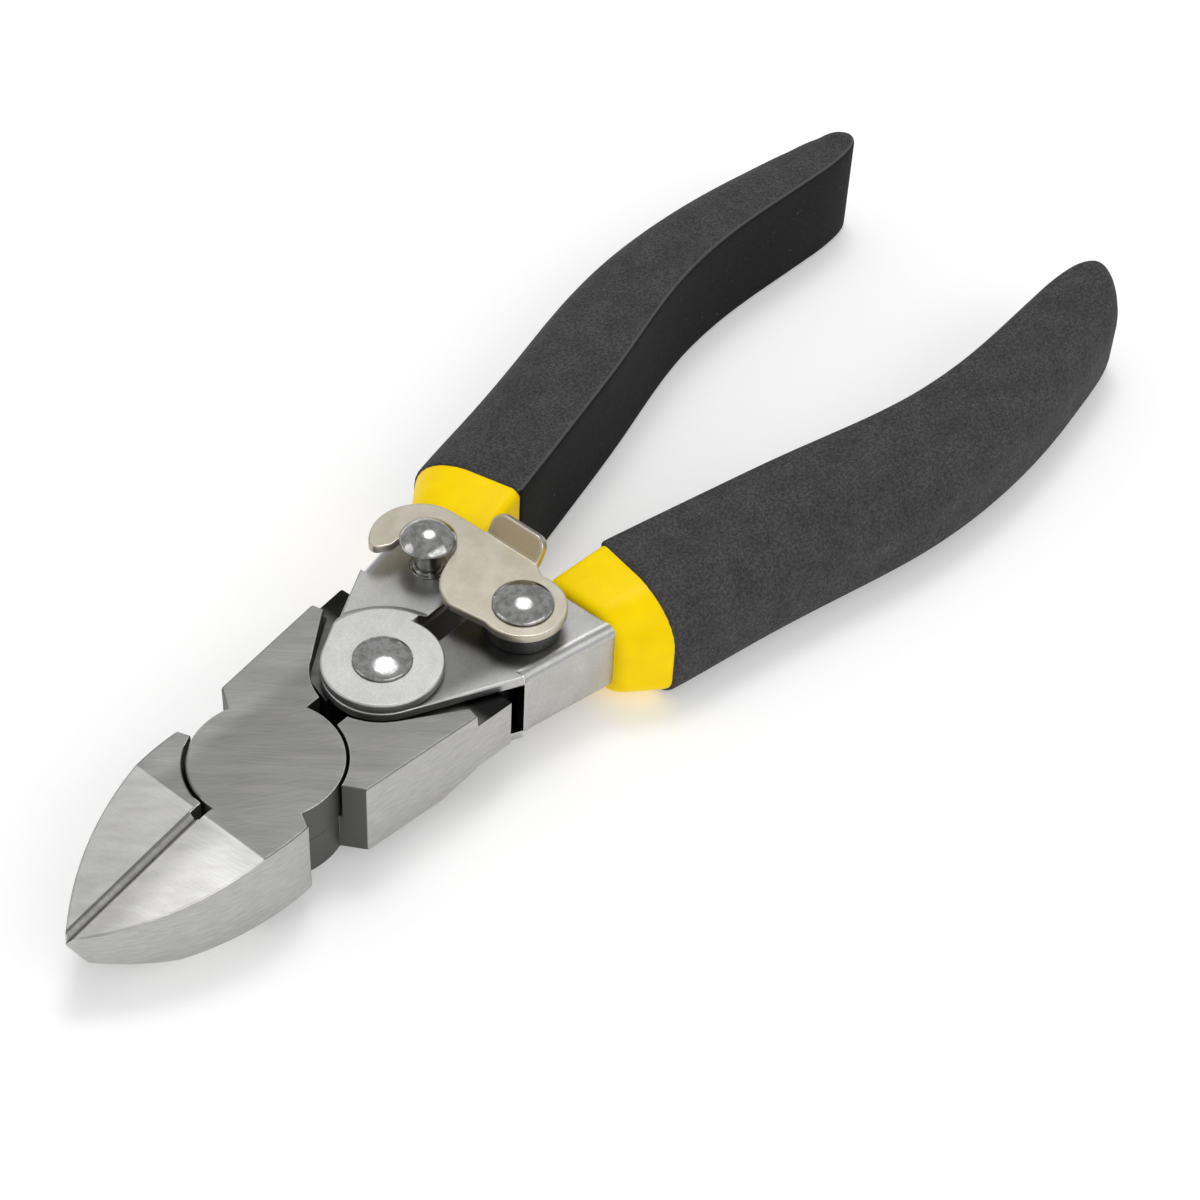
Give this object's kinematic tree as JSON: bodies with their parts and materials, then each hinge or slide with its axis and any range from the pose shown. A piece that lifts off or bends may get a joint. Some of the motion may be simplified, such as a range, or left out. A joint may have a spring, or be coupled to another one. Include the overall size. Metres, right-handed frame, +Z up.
{
  "type": "compound-action diagonal cutter",
  "caption": "Compound-action cutting pliers with lapped jaws, stamped channel handles pinned to them, a hook latch over the handles and dipped collars under soft grips.",
  "frame": {"origin": "middle of the bounding box on the plane that the tool rests on", "axes": "+X from the blade tips to the grip ends, +Y to the latch's catch, +Z up from the bench"},
  "size_m": [0.1922, 0.072, 0.0221],
  "materials": {
    "ground_steel": "ground and brushed bare tool steel",
    "stamped_steel": "satin stamped steel",
    "rivet_steel": "formed and tumbled polished steel",
    "latch_nickel": "satin nickel plate, slightly warm",
    "dark_steel": "blackened steel",
    "spring_steel": "oil-tempered spring wire",
    "collar_vinyl": "glossy dipped vinyl",
    "cover_foam": "matte fine-grained soft elastomer"
  },
  "bodies": {
    "right_jaw": {"right_jaw": "ground_steel", "jaw_rivet": "ground_steel", "opening_spring": "spring_steel"},
    "left_jaw": {"left_jaw": "ground_steel"},
    "left_handle": {"left_handle_channel": "stamped_steel", "handle_rivet": "rivet_steel", "handle_pivot_sleeve": "dark_steel", "left_link_rivet": "rivet_steel", "left_link_washers": "dark_steel", "left_grip_liner": "collar_vinyl", "left_grip_cover": "cover_foam"},
    "right_handle": {"right_handle_channel": "stamped_steel", "right_link_rivet": "rivet_steel", "right_link_washers": "dark_steel", "latch_spacer": "dark_steel", "latch_friction_washer": "dark_steel", "right_grip_liner": "collar_vinyl", "right_grip_cover": "cover_foam"},
    "latch": {"latch": "latch_nickel"}
  },
  "joints": [
    {"name": "jaw_pivot", "type": "hinge", "parent": "right_jaw", "child": "left_jaw", "pos_m": [-0.0616, 0, 0.0088], "axis": [0, 0, -1], "range_deg": [0, 12], "deforming": ["opening_spring"]},
    {"name": "left_link", "type": "hinge", "parent": "right_jaw", "child": "left_handle", "pos_m": [-0.0219, 0.0086, 0.0088], "axis": [0, 0, 1], "range_deg": [0, 7.7]},
    {"name": "right_link", "type": "hinge", "parent": "left_jaw", "child": "right_handle", "pos_m": [-0.0219, -0.0086, 0.0088], "axis": [0, 0, -1], "range_deg": [0, 7.7]},
    {"name": "latch_swing", "type": "hinge", "parent": "right_handle", "child": "latch", "pos_m": [-0.0219, -0.0086, 0.0185], "axis": [0, 0, -1], "range_deg": [0, 48.1]}
  ],
  "couplings": [
    {"joint": "left_link", "follows": "jaw_pivot", "ratio": 0.64},
    {"joint": "right_link", "follows": "jaw_pivot", "ratio": 0.64},
    {"joint": "latch_swing", "follows": "jaw_pivot", "ratio": 4}
  ]
}
